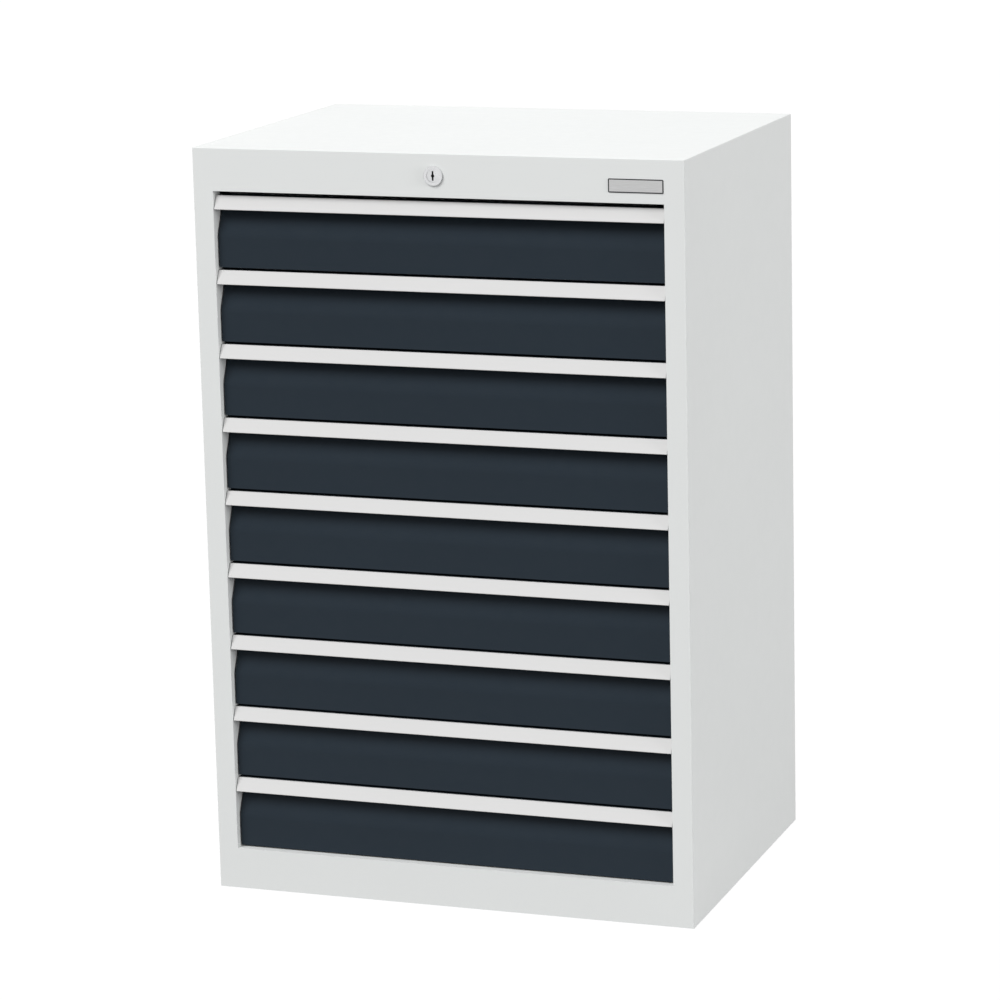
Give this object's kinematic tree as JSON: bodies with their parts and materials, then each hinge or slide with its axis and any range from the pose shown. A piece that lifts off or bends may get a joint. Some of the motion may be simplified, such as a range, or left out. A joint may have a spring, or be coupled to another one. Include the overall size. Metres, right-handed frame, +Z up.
{
  "type": "drawer cabinet",
  "caption": "Free-standing sheet-metal drawer cabinet with full-extension drawers, full-width recessed handle strips and one central lock in the top rail.",
  "frame": {"origin": "middle of the housing's footprint, on the floor", "axes": "+X to the right seen from the front, +Y to the back, +Z up; the drawers open towards -Y"},
  "size_m": [0.68, 0.5033, 1.019],
  "materials": {
    "housing_paint": "light grey powder coat, satin",
    "front_paint": "anthracite powder coat, satin",
    "strip_finish": "light grey powder coat, satin",
    "tray_paint": "light grey powder coat, satin",
    "zinc_steel": "zinc plated steel",
    "lock_chrome": "nickel plated, satin",
    "guide_plastic": "black glass-filled nylon"
  },
  "bodies": {
    "housing": {"side_panel_right": "housing_paint", "side_panel_left": "housing_paint", "top_panel": "housing_paint", "back_panel": "housing_paint", "bottom_panel": "housing_paint", "header_rail": "housing_paint", "base_rail": "housing_paint", "runner_posts": "zinc_steel", "cabinet_runners": "zinc_steel", "lock_housing": "lock_chrome", "shaft_bearing": "zinc_steel", "lock_bar_guides": "guide_plastic"},
    "drawer_1": {"drawer_box_1": "tray_paint", "drawer_front_1": "front_paint", "handle_strip_1": "strip_finish", "drawer_runners_1": "zinc_steel"},
    "middle_1": {"middle_runners_1": "zinc_steel"},
    "drawer_2": {"drawer_box_2": "tray_paint", "drawer_front_2": "front_paint", "handle_strip_2": "strip_finish", "drawer_runners_2": "zinc_steel"},
    "middle_2": {"middle_runners_2": "zinc_steel"},
    "drawer_3": {"drawer_box_3": "tray_paint", "drawer_front_3": "front_paint", "handle_strip_3": "strip_finish", "drawer_runners_3": "zinc_steel"},
    "middle_3": {"middle_runners_3": "zinc_steel"},
    "drawer_4": {"drawer_box_4": "tray_paint", "drawer_front_4": "front_paint", "handle_strip_4": "strip_finish", "drawer_runners_4": "zinc_steel"},
    "middle_4": {"middle_runners_4": "zinc_steel"},
    "drawer_5": {"drawer_box_5": "tray_paint", "drawer_front_5": "front_paint", "handle_strip_5": "strip_finish", "drawer_runners_5": "zinc_steel"},
    "middle_5": {"middle_runners_5": "zinc_steel"},
    "drawer_6": {"drawer_box_6": "tray_paint", "drawer_front_6": "front_paint", "handle_strip_6": "strip_finish", "drawer_runners_6": "zinc_steel"},
    "middle_6": {"middle_runners_6": "zinc_steel"},
    "drawer_7": {"drawer_box_7": "tray_paint", "drawer_front_7": "front_paint", "handle_strip_7": "strip_finish", "drawer_runners_7": "zinc_steel"},
    "middle_7": {"middle_runners_7": "zinc_steel"},
    "drawer_8": {"drawer_box_8": "tray_paint", "drawer_front_8": "front_paint", "handle_strip_8": "strip_finish", "drawer_runners_8": "zinc_steel"},
    "middle_8": {"middle_runners_8": "zinc_steel"},
    "drawer_9": {"drawer_box_9": "tray_paint", "drawer_front_9": "front_paint", "handle_strip_9": "strip_finish", "drawer_runners_9": "zinc_steel"},
    "middle_9": {"middle_runners_9": "zinc_steel"},
    "lock": {"lock_plug": "lock_chrome", "lock_shaft": "zinc_steel"},
    "lock_bar": {"lock_bar": "zinc_steel"}
  },
  "joints": [
    {"name": "drawer_1_slide", "type": "slide", "parent": "housing", "child": "drawer_1", "axis": [0, -1, 0], "range_m": [0, 0.4]},
    {"name": "middle_1_slide", "type": "slide", "parent": "housing", "child": "middle_1", "axis": [0, -1, 0], "range_m": [0, 0.2]},
    {"name": "drawer_2_slide", "type": "slide", "parent": "housing", "child": "drawer_2", "axis": [0, -1, 0], "range_m": [0, 0.4]},
    {"name": "middle_2_slide", "type": "slide", "parent": "housing", "child": "middle_2", "axis": [0, -1, 0], "range_m": [0, 0.2]},
    {"name": "drawer_3_slide", "type": "slide", "parent": "housing", "child": "drawer_3", "axis": [0, -1, 0], "range_m": [0, 0.4]},
    {"name": "middle_3_slide", "type": "slide", "parent": "housing", "child": "middle_3", "axis": [0, -1, 0], "range_m": [0, 0.2]},
    {"name": "drawer_4_slide", "type": "slide", "parent": "housing", "child": "drawer_4", "axis": [0, -1, 0], "range_m": [0, 0.4]},
    {"name": "middle_4_slide", "type": "slide", "parent": "housing", "child": "middle_4", "axis": [0, -1, 0], "range_m": [0, 0.2]},
    {"name": "drawer_5_slide", "type": "slide", "parent": "housing", "child": "drawer_5", "axis": [0, -1, 0], "range_m": [0, 0.4]},
    {"name": "middle_5_slide", "type": "slide", "parent": "housing", "child": "middle_5", "axis": [0, -1, 0], "range_m": [0, 0.2]},
    {"name": "drawer_6_slide", "type": "slide", "parent": "housing", "child": "drawer_6", "axis": [0, -1, 0], "range_m": [0, 0.4]},
    {"name": "middle_6_slide", "type": "slide", "parent": "housing", "child": "middle_6", "axis": [0, -1, 0], "range_m": [0, 0.2]},
    {"name": "drawer_7_slide", "type": "slide", "parent": "housing", "child": "drawer_7", "axis": [0, -1, 0], "range_m": [0, 0.4]},
    {"name": "middle_7_slide", "type": "slide", "parent": "housing", "child": "middle_7", "axis": [0, -1, 0], "range_m": [0, 0.2]},
    {"name": "drawer_8_slide", "type": "slide", "parent": "housing", "child": "drawer_8", "axis": [0, -1, 0], "range_m": [0, 0.4]},
    {"name": "middle_8_slide", "type": "slide", "parent": "housing", "child": "middle_8", "axis": [0, -1, 0], "range_m": [0, 0.2]},
    {"name": "drawer_9_slide", "type": "slide", "parent": "housing", "child": "drawer_9", "axis": [0, -1, 0], "range_m": [0, 0.4]},
    {"name": "middle_9_slide", "type": "slide", "parent": "housing", "child": "middle_9", "axis": [0, -1, 0], "range_m": [0, 0.2]},
    {"name": "lock_turn", "type": "hinge", "parent": "housing", "child": "lock", "pos_m": [0, -0.25, 0.99035], "axis": [0, -1, 0], "range_deg": [0, 90]},
    {"name": "lock_bar_lift", "type": "slide", "parent": "housing", "child": "lock_bar", "axis": [0, 0, 1], "range_m": [0, 0.01414]}
  ],
  "couplings": [
    {"joint": "middle_1_slide", "follows": "drawer_1_slide", "ratio": 0.5},
    {"joint": "middle_2_slide", "follows": "drawer_2_slide", "ratio": 0.5},
    {"joint": "middle_3_slide", "follows": "drawer_3_slide", "ratio": 0.5},
    {"joint": "middle_4_slide", "follows": "drawer_4_slide", "ratio": 0.5},
    {"joint": "middle_5_slide", "follows": "drawer_5_slide", "ratio": 0.5},
    {"joint": "middle_6_slide", "follows": "drawer_6_slide", "ratio": 0.5},
    {"joint": "middle_7_slide", "follows": "drawer_7_slide", "ratio": 0.5},
    {"joint": "middle_8_slide", "follows": "drawer_8_slide", "ratio": 0.5},
    {"joint": "middle_9_slide", "follows": "drawer_9_slide", "ratio": 0.5},
    {"joint": "lock_turn", "follows": "lock_bar_lift", "rad_per_m": 111.07}
  ]
}
